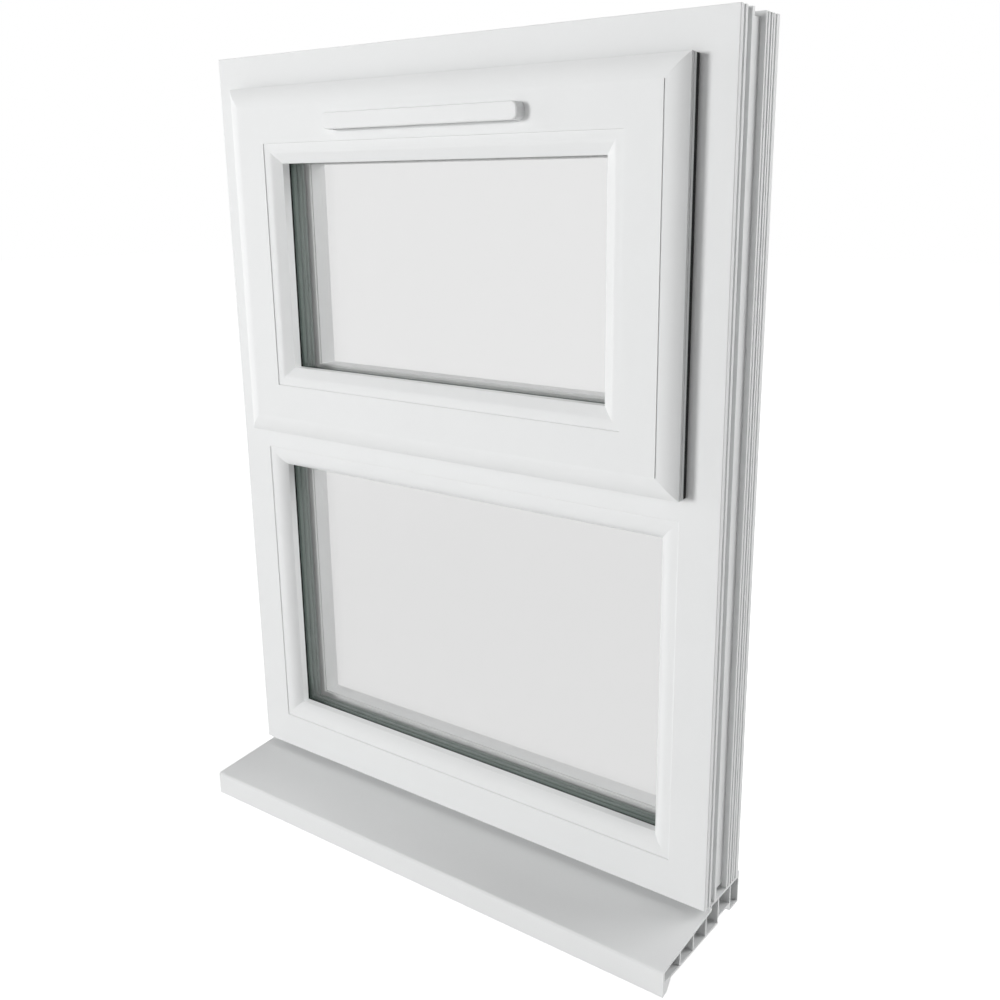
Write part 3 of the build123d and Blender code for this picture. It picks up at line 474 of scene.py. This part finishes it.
def mitred_ring(node, profile):
    """Ring of the node's outer size: the profile is turned in four steps, then the corners are drawn apart.

    The profile lists points as distance in from the ring's outer edge and depth from its front."""
    low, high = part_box(node)
    reach = 2 * max(inset for inset, depth in profile)
    bm = bmesh.new()
    corner = [bm.verts.new((reach - inset, low.y + depth, reach - inset)) for inset, depth in profile]
    loop = [bm.edges.new(pair) for pair in zip(corner, corner[1:] + corner[:1])]
    bmesh.ops.spin(
        bm, geom=corner + loop, cent=(0, 0, 0), axis=(0, 1, 0), angle=2 * math.pi, steps=4, use_merge=True)
    middle = (low + high) / 2
    spread = (high - low) / 2
    quarters = {}
    for vert in bm.verts:
        quarters.setdefault((vert.co.x > 0, vert.co.z > 0), []).append(vert)
    for (right, upper), verts in quarters.items():
        across = (spread.x - reach) * (1 if right else -1)
        rise = (spread.z - reach) * (1 if upper else -1)
        bmesh.ops.translate(bm, verts=verts, vec=(middle.x + across, 0, middle.z + rise))
    return bm


def gasket_profile(height, depth):
    """Wedge gasket: a flat back in its groove and a rolled lip against the glass."""
    front_round = 1.3 * MM
    front_bend = (0.4 * MM, 0.3 * MM)
    front_land = 1.0 * MM
    lip_round = 0.9 * MM
    lip_bend = (0.3 * MM, 0.25 * MM)
    lip_height = 1.9 * MM
    lip_root = 2.4 * MM
    lip_rise = 0.6 * MM
    return (
        (0, 0), (height - front_round, 0), (height - front_bend[0], front_bend[1]), (height, front_land),
        (height, depth - lip_round), (height - lip_bend[0], depth - lip_bend[1]),
        (height - lip_round, depth), (height - lip_height, depth), (height - lip_root, depth - lip_rise),
        (0, depth - lip_rise),
    )


def spacer_profile(height, depth, groove):
    """Hollow-bar section with cut corners for the sealant and rolled ribs along the seen face."""
    corner_height = 1.6 * MM
    corner_depth = 1.2 * MM
    face = [(height - groove, 0)]
    for start, end in zip(RIB_SHARES, RIB_SHARES[1:]):
        for step in range(1, RIB_STEPS + 1):
            share = step / RIB_STEPS
            dip = groove * (2 * share - 1) ** 2
            face.append((height - dip, depth * (start + (end - start) * share)))
    front = [(0, corner_depth), (corner_height, 0)]
    back = [(corner_height, depth), (0, depth - corner_depth)]
    return front + face + back


def seal_profile(shares, width, depth):
    """Section of a seal, from a table of shares."""
    return [(width * across, depth * deep) for across, deep in shares]


def cross_head_screw(bm, place, inward, head_radius, head_depth, shank_length, fitting):
    """Countersunk screw with a cross recess, its head's face at the given place."""
    before = set(bm.verts)
    recess = fitting.recess
    grid = bmesh.ops.create_grid(bm, x_segments=3, y_segments=3, size=recess / 2)
    half_cell = recess / 6
    faces = {face for vert in grid["verts"] for face in vert.link_faces}
    cross = [face for face in faces
             if min(abs(face.calc_center_median().x), abs(face.calc_center_median().y)) < half_cell]
    rim = [edge for edge in {edge for face in faces for edge in face.edges} if edge.is_boundary]
    sunk = bmesh.ops.extrude_face_region(bm, geom=cross)
    floor = [item for item in sunk["geom"] if isinstance(item, bmesh.types.BMVert)]
    bmesh.ops.delete(bm, geom=cross, context="FACES")
    bmesh.ops.translate(bm, verts=floor, vec=(0, 0, -fitting.recess_depth))
    bmesh.ops.scale(bm, verts=floor, vec=(RECESS_FLOOR_SHARE, RECESS_FLOOR_SHARE, 1))
    circle = bmesh.ops.create_circle(bm, segments=fitting.screw_sides, radius=head_radius)
    edge_loop = list({edge for vert in circle["verts"] for edge in vert.link_edges})
    bmesh.ops.bridge_loops(bm, edges=rim + edge_loop)
    ring = edge_loop
    radius = head_radius
    shank = fitting.shank_radius
    steps = ((shank, head_depth), (shank, shank_length), (POINT_SHARE * shank, fitting.point_length))
    for next_radius, drop in steps:
        grown = bmesh.ops.extrude_edge_only(bm, edges=ring)["geom"]
        verts = [item for item in grown if isinstance(item, bmesh.types.BMVert)]
        ring = [item for item in grown if isinstance(item, bmesh.types.BMEdge)]
        share = next_radius / radius
        bmesh.ops.scale(bm, verts=verts, vec=(share, share, 1))
        bmesh.ops.translate(bm, verts=verts, vec=(0, 0, -drop))
        radius = next_radius
    bmesh.ops.edgeloop_fill(bm, edges=ring)
    made = [vert for vert in bm.verts if vert not in before]
    turn = Vector((0, 0, -1)).rotation_difference(Vector(inward)).to_matrix()
    bmesh.ops.rotate(bm, verts=made, cent=(0, 0, 0), matrix=turn)
    bmesh.ops.translate(bm, verts=made, vec=place)


def solid_boxes(node):
    """Lowest and highest corners of each separate solid in a node."""
    bm = bmesh.new()
    bm.from_mesh(NODES[node].data)
    bmesh.ops.remove_doubles(bm, verts=bm.verts, dist=MERGE_DISTANCE)
    left = set(bm.verts)
    boxes = []
    while left:
        island = {left.pop()}
        edge = list(island)
        while edge:
            vert = edge.pop()
            near = {other for link in vert.link_edges for other in link.verts} - island
            island |= near
            edge.extend(near)
        left -= island
        corners = [vert.co.copy() for vert in island]
        low = Vector([min(corner[axis] for corner in corners) for axis in range(3)])
        high = Vector([max(corner[axis] for corner in corners) for axis in range(3)])
        boxes.append((low, high))
    bm.free()
    return boxes


class WINDOW_OT_profiles(Operator):
    """Finish the frame, transom, sash, beads and sill in extruded white uPVC"""

    bl_idname = "window.profiles"
    bl_label = "Finish profiles"

    def execute(self, context):
        finish = context.scene.window_finish
        paint(UPRIGHT_LENGTHS, extruded_upvc("extruded_upvc_upright", finish.upvc, False))
        paint(LEVEL_LENGTHS, extruded_upvc("extruded_upvc_level", finish.upvc, True))
        return {"FINISHED"}


class WINDOW_OT_glazing(Operator):
    """Glaze both lights: panes, spacer bars, gaskets and packers"""

    bl_idname = "window.glazing"
    bl_label = "Glaze"

    def execute(self, context):
        finish = context.scene.window_finish
        fitting = context.scene.window_fitting
        paint(PANES, float_glass("float_glass_clear", finish.glass))
        bar = rolled_aluminium("rolled_aluminium_spacer", finish.spacer)
        outer = extruded_rubber("extruded_rubber_black", finish.rubber, 0.01)
        inner = extruded_rubber("extruded_rubber_pale", finish.inner_gasket, 0.03)
        paint(("fixed_packers", "sash_packers"), moulded_abs("moulded_plastic_packer", finish.packer))
        for light, body in (("fixed", "frame"), ("sash", "sash")):
            node = light + "_spacer_bar"
            low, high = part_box(node)
            profile = spacer_profile(fitting.spacer_height, high.y - low.y, fitting.spacer_groove)
            ring = mitred_ring(node, profile)
            place_piece(ring, light + "_spacer", body, bar, (node,))
            node = light + "_outer_gasket"
            low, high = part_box(node)
            profile = gasket_profile(fitting.gasket_height, high.y - low.y)
            ring = mitred_ring(node, profile)
            place_piece(ring, light + "_glazing_gasket", body, outer, (node,))
            node = light + "_inner_gasket"
            low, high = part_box(node)
            depth = high.y - low.y
            profile = gasket_profile(fitting.gasket_height, depth)
            turned = [(inset, depth - behind) for inset, behind in profile]
            ring = mitred_ring(node, turned)
            place_piece(ring, light + "_room_gasket", body, inner, (node,))
        return {"FINISHED"}


class WINDOW_OT_seals(Operator):
    """Fit the weather seal behind the sash lip and the seal on the frame's leg"""

    bl_idname = "window.seals"
    bl_label = "Fit seals"

    def execute(self, context):
        finish = context.scene.window_finish
        fitting = context.scene.window_fitting
        rubber = extruded_rubber("extruded_rubber_seal", finish.rubber, 0.012)
        low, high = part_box("sash_weather_seal")
        profile = seal_profile(BULB_SHARES, fitting.seal_width, high.y - low.y)
        place_piece(
            mitred_ring("sash_weather_seal", profile), "weather_seal", "sash", rubber,
            ("sash_weather_seal",))
        low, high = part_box("frame_inner_seal")
        profile = seal_profile(FLIPPER_SHARES, fitting.inner_seal_width, high.y - low.y)
        place_piece(
            mitred_ring("frame_inner_seal", profile), "leg_seal", "frame", rubber,
            ("frame_inner_seal",))
        return {"FINISHED"}


class WINDOW_OT_stays(Operator):
    """Finish the friction stays in brushed steel and drive their screws"""

    bl_idname = "window.stays"
    bl_label = "Fit stays"

    def execute(self, context):
        finish = context.scene.window_finish
        fitting = context.scene.window_fitting
        paint(STAY_STEEL, brushed_steel("brushed_stainless_upright", finish.steel, False, 0.24, 0.4))
        bright = brushed_steel("turned_stainless_screw", finish.steel, True, 0.2, 0.34)
        for node, body, outward in (("stay_track_screws", "frame", -1), ("stay_sash_screws", "sash", 1)):
            bm = bmesh.new()
            for low, high in solid_boxes(node):
                side = 1 if low.x > 0 else -1
                head = high.x if side * outward > 0 else low.x
                place = (head, (low.y + high.y) / 2, (low.z + high.z) / 2)
                inward = (-side * outward, 0, 0)
                shank_length = high.x - low.x - fitting.plate_screw_ends
                cross_head_screw(
                    bm, place, inward, fitting.head_radius, fitting.head_depth, shank_length, fitting)
            place_piece(bm, node.replace("_screws", "_fixings"), body, bright, (node,))
        return {"FINISHED"}


class WINDOW_OT_lock(Operator):
    """Finish the lock in plated steel and cast zinc and drive the keep screws"""

    bl_idname = "window.lock"
    bl_label = "Fit lock"

    def execute(self, context):
        finish = context.scene.window_finish
        fitting = context.scene.window_fitting
        paint(LOCK_STEEL, brushed_steel("plated_steel_level", finish.plated, True, 0.3, 0.45))
        paint(LOCK_CASTINGS, cast_zinc("cast_zinc_dull", finish.casting))
        bright = brushed_steel("plated_steel_screw", finish.plated, True, 0.25, 0.4)
        bm = bmesh.new()
        for low, high in solid_boxes("lock_keep_screws"):
            place = ((low.x + high.x) / 2, (low.y + high.y) / 2, high.z)
            shank_length = high.z - low.z - fitting.plate_screw_ends
            cross_head_screw(
                bm, place, (0, 0, -1), fitting.head_radius, fitting.head_depth, shank_length, fitting)
        place_piece(bm, "lock_keep_fixings", "frame", bright, ("lock_keep_screws",))
        return {"FINISHED"}


class WINDOW_OT_handle(Operator):
    """Model the lever with rounded edges and finish the handle in enamel"""

    bl_idname = "window.handle"
    bl_label = "Fit handle"

    def execute(self, context):
        finish = context.scene.window_finish
        fitting = context.scene.window_fitting
        enamel = sprayed_enamel("sprayed_enamel_white", finish.enamel)
        paint(("handle_base",), enamel)
        low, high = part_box("handle_lever")
        bm = bmesh.new()
        middle = Vector(((low.x + high.x) / 2, high.y - fitting.lever_depth / 2, (low.z + high.z) / 2))
        grip = bmesh.ops.create_cube(bm, size=1.0)["verts"]
        bmesh.ops.scale(bm, verts=grip, vec=(high.x - low.x, fitting.lever_depth, high.z - low.z))
        bmesh.ops.translate(bm, verts=grip, vec=middle)
        tip = [vert for vert in grip if vert.co.x > middle.x]
        bmesh.ops.scale(
            bm, verts=tip, vec=(1, *LEVER_TIP_SHARES), space=Matrix.Translation((0, -high.y, -middle.z)))
        bmesh.ops.bevel(
            bm, geom=bm.edges[:], offset=fitting.lever_rounding, offset_type="OFFSET",
            segments=fitting.rounding_steps, profile=0.5, affect="EDGES", material=-1, clamp_overlap=True)
        neck_end = high.y - fitting.neck_inset
        neck = bmesh.ops.create_cone(
            bm, cap_ends=True, segments=fitting.neck_sides, radius1=fitting.neck_radius,
            radius2=fitting.neck_radius, depth=neck_end - low.y)["verts"]
        bmesh.ops.rotate(bm, verts=neck, cent=(0, 0, 0), matrix=Matrix.Rotation(math.pi / 2, 3, "X"))
        bmesh.ops.translate(bm, verts=neck, vec=(0, (low.y + neck_end) / 2, middle.z))
        place_piece(bm, "handle_grip", "handle", enamel, ("handle_lever",))
        bright = brushed_steel("plated_steel_handle_screw", finish.plated, True, 0.25, 0.4)
        bm = bmesh.new()
        for low, high in solid_boxes("handle_screws"):
            place = ((low.x + high.x) / 2, high.y, (low.z + high.z) / 2)
            head_radius = (high.x - low.x) / 2
            shank_length = high.y - low.y - fitting.handle_screw_ends
            cross_head_screw(
                bm, place, (0, -1, 0), head_radius, fitting.handle_head_depth, shank_length, fitting)
        place_piece(bm, "handle_fixings", "sash", bright, ("handle_screws",))
        return {"FINISHED"}


class WINDOW_OT_vent(Operator):
    """Finish the trickle vent in moulded white"""

    bl_idname = "window.vent"
    bl_label = "Fit vent"

    def execute(self, context):
        finish = context.scene.window_finish
        paint(VENT_MOULDINGS, moulded_abs("moulded_abs_white", finish.moulding))
        return {"FINISHED"}


class WINDOW_OT_stage(Operator):
    """Set the floor, the light and the camera"""

    bl_idname = "window.stage"
    bl_label = "Set stage"

    def execute(self, context):
        scene = context.scene
        stage = scene.window_stage
        scene.view_settings.view_transform = "Standard"
        # Painted studio floor: white to the eye with a soft shadow under the sill. The glass shows it
        # as a plain glow, a little greyer close to the window: painted shade for the window's shadow there.
        material, tree = blank_material("painted_floor_white")
        path = add_node(tree, "ShaderNodeLightPath")
        paint_coat = add_node(tree, "ShaderNodeBsdfDiffuse", {"Color": linear(stage.floor)})
        coordinates = add_node(tree, "ShaderNodeTexCoord").outputs["Object"]
        distance = add_node(tree, "ShaderNodeVectorMath", {0: coordinates}, operation="LENGTH")
        fade = add_node(
            tree, "ShaderNodeMapRange",
            {"Value": distance.outputs["Value"], "From Min": stage.near, "From Max": stage.far,
             "To Min": stage.near_glow, "To Max": 1.0},
            interpolation_type="SMOOTHSTEP")
        glow = add_node(
            tree, "ShaderNodeEmission", {"Color": WHITE, "Strength": fade.outputs["Result"]})
        bright = add_node(
            tree, "ShaderNodeAddShader", {0: paint_coat.outputs["BSDF"], 1: glow.outputs["Emission"]})
        direct = add_node(
            tree, "ShaderNodeMixShader",
            {"Fac": path.outputs["Is Camera Ray"], 1: paint_coat.outputs["BSDF"],
             2: bright.outputs["Shader"]})
        # Painted shade: in the glass the floor's glow is greyer close to the window, for the window's
        # shadow
        level = add_node(
            tree, "ShaderNodeMapRange",
            {"Value": distance.outputs["Value"], "From Min": stage.near, "From Max": stage.far_in_glass,
             "To Min": stage.near_shade_in_glass, "To Max": 1.0},
            interpolation_type="SMOOTHSTEP")
        plain = add_node(
            tree, "ShaderNodeEmission", {"Color": WHITE, "Strength": level.outputs["Result"]})
        in_glass = add_node(
            tree, "ShaderNodeMath",
            {0: path.outputs["Is Transmission Ray"], 1: path.outputs["Is Glossy Ray"]}, operation="MAXIMUM")
        mixed = add_node(
            tree, "ShaderNodeMixShader",
            {"Fac": in_glass.outputs["Value"], 1: direct.outputs["Shader"], 2: plain.outputs["Emission"]})
        add_node(tree, "ShaderNodeOutputMaterial", {"Surface": mixed.outputs["Shader"]})
        bm = bmesh.new()
        bmesh.ops.create_grid(bm, x_segments=2, y_segments=2, size=stage.floor_half)
        bmesh.ops.translate(bm, verts=bm.verts, vec=(0, 0, CAD_BOX[0][2]))
        mesh = bpy.data.meshes.new("studio_floor")
        bm.to_mesh(mesh)
        bm.free()
        mesh.materials.append(material)
        floor = bpy.data.objects.new("studio_floor", mesh)
        scene.collection.objects.link(floor)
        # A trace of even light from all round, with plain white behind the window.
        world = bpy.data.worlds.new("studio_light")
        scene.world = world
        world.use_nodes = True
        tree = world.node_tree
        tree.nodes.clear()
        path = add_node(tree, "ShaderNodeLightPath")
        through = add_node(
            tree, "ShaderNodeMath",
            {0: path.outputs["Is Camera Ray"], 1: path.outputs["Is Transmission Ray"]}, operation="MAXIMUM")
        seen = add_node(
            tree, "ShaderNodeMath", {0: through.outputs["Value"], 1: path.outputs["Is Glossy Ray"]},
            operation="MAXIMUM")
        even = add_node(tree, "ShaderNodeBackground", {"Color": WHITE, "Strength": stage.room_light})
        plain = add_node(tree, "ShaderNodeBackground", {"Color": WHITE, "Strength": 1.0})
        mixed = add_node(
            tree, "ShaderNodeMixShader",
            {"Fac": seen.outputs["Value"], 1: even.outputs["Background"], 2: plain.outputs["Background"]})
        add_node(tree, "ShaderNodeOutputWorld", {"Surface": mixed.outputs["Shader"]})
        # Soft lamps that only the surfaces show: neither the glass nor the camera sees them.
        for name, place, size, power in LAMPS:
            lamp = bpy.data.lights.new(name, "AREA")
            lamp.energy = power * stage.lamp_level
            lamp.size = size
            softbox = bpy.data.objects.new(name, lamp)
            softbox.location = place
            aim = Vector(stage.lamp_aim) - softbox.location
            softbox.rotation_euler = aim.to_track_quat("-Z", "Y").to_euler()
            softbox.visible_camera = False
            softbox.visible_glossy = False
            softbox.visible_transmission = False
            scene.collection.objects.link(softbox)
        # The camera stands to the right and looks down on the sill.
        lens = bpy.data.cameras.new("camera")
        lens.sensor_width = stage.sensor
        lens.sensor_fit = "HORIZONTAL"
        lens.lens = stage.lens
        lens.shift_x = stage.shift[0]
        lens.shift_y = stage.shift[1]
        lens.clip_start = 0.01
        camera = bpy.data.objects.new("camera", lens)
        camera.location = stage.camera_place
        camera.rotation_euler = Vector(stage.camera_aim).to_track_quat("-Z", "Y").to_euler()
        scene.collection.objects.link(camera)
        scene.camera = camera
        return {"FINISHED"}


OPERATORS = (
    WINDOW_OT_stage, WINDOW_OT_profiles, WINDOW_OT_glazing, WINDOW_OT_seals, WINDOW_OT_stays,
    WINDOW_OT_lock, WINDOW_OT_handle, WINDOW_OT_vent,
)


class WINDOW_PT_dressing(Panel):
    """The steps that dress the window, in order"""

    bl_idname = "WINDOW_PT_dressing"
    bl_label = "Window"
    bl_space_type = "VIEW_3D"
    bl_region_type = "UI"
    bl_category = "Window"

    def draw(self, context):
        for operator in OPERATORS:
            self.layout.operator(operator.bl_idname)
        scene = context.scene
        for group in (scene.window_finish, scene.window_fitting, scene.window_stage):
            for name in group.bl_rna.properties.keys():
                if name not in ("rna_type", "name"):
                    self.layout.prop(group, name)


CLASSES = (WindowFinish, WindowFitting, WindowStage) + OPERATORS + (WINDOW_PT_dressing,)


def register():
    for cls in CLASSES:
        bpy.utils.register_class(cls)
    bpy.types.Scene.window_finish = PointerProperty(type=WindowFinish)
    bpy.types.Scene.window_fitting = PointerProperty(type=WindowFitting)
    bpy.types.Scene.window_stage = PointerProperty(type=WindowStage)


def unregister():
    del bpy.types.Scene.window_stage
    del bpy.types.Scene.window_fitting
    del bpy.types.Scene.window_finish
    for cls in reversed(CLASSES):
        bpy.utils.unregister_class(cls)


def main():
    register()
    bpy.ops.window.stage()
    bpy.ops.window.profiles()
    bpy.ops.window.glazing()
    bpy.ops.window.seals()
    bpy.ops.window.stays()
    bpy.ops.window.lock()
    bpy.ops.window.handle()
    bpy.ops.window.vent()


if __name__ == "__main__":
    main()
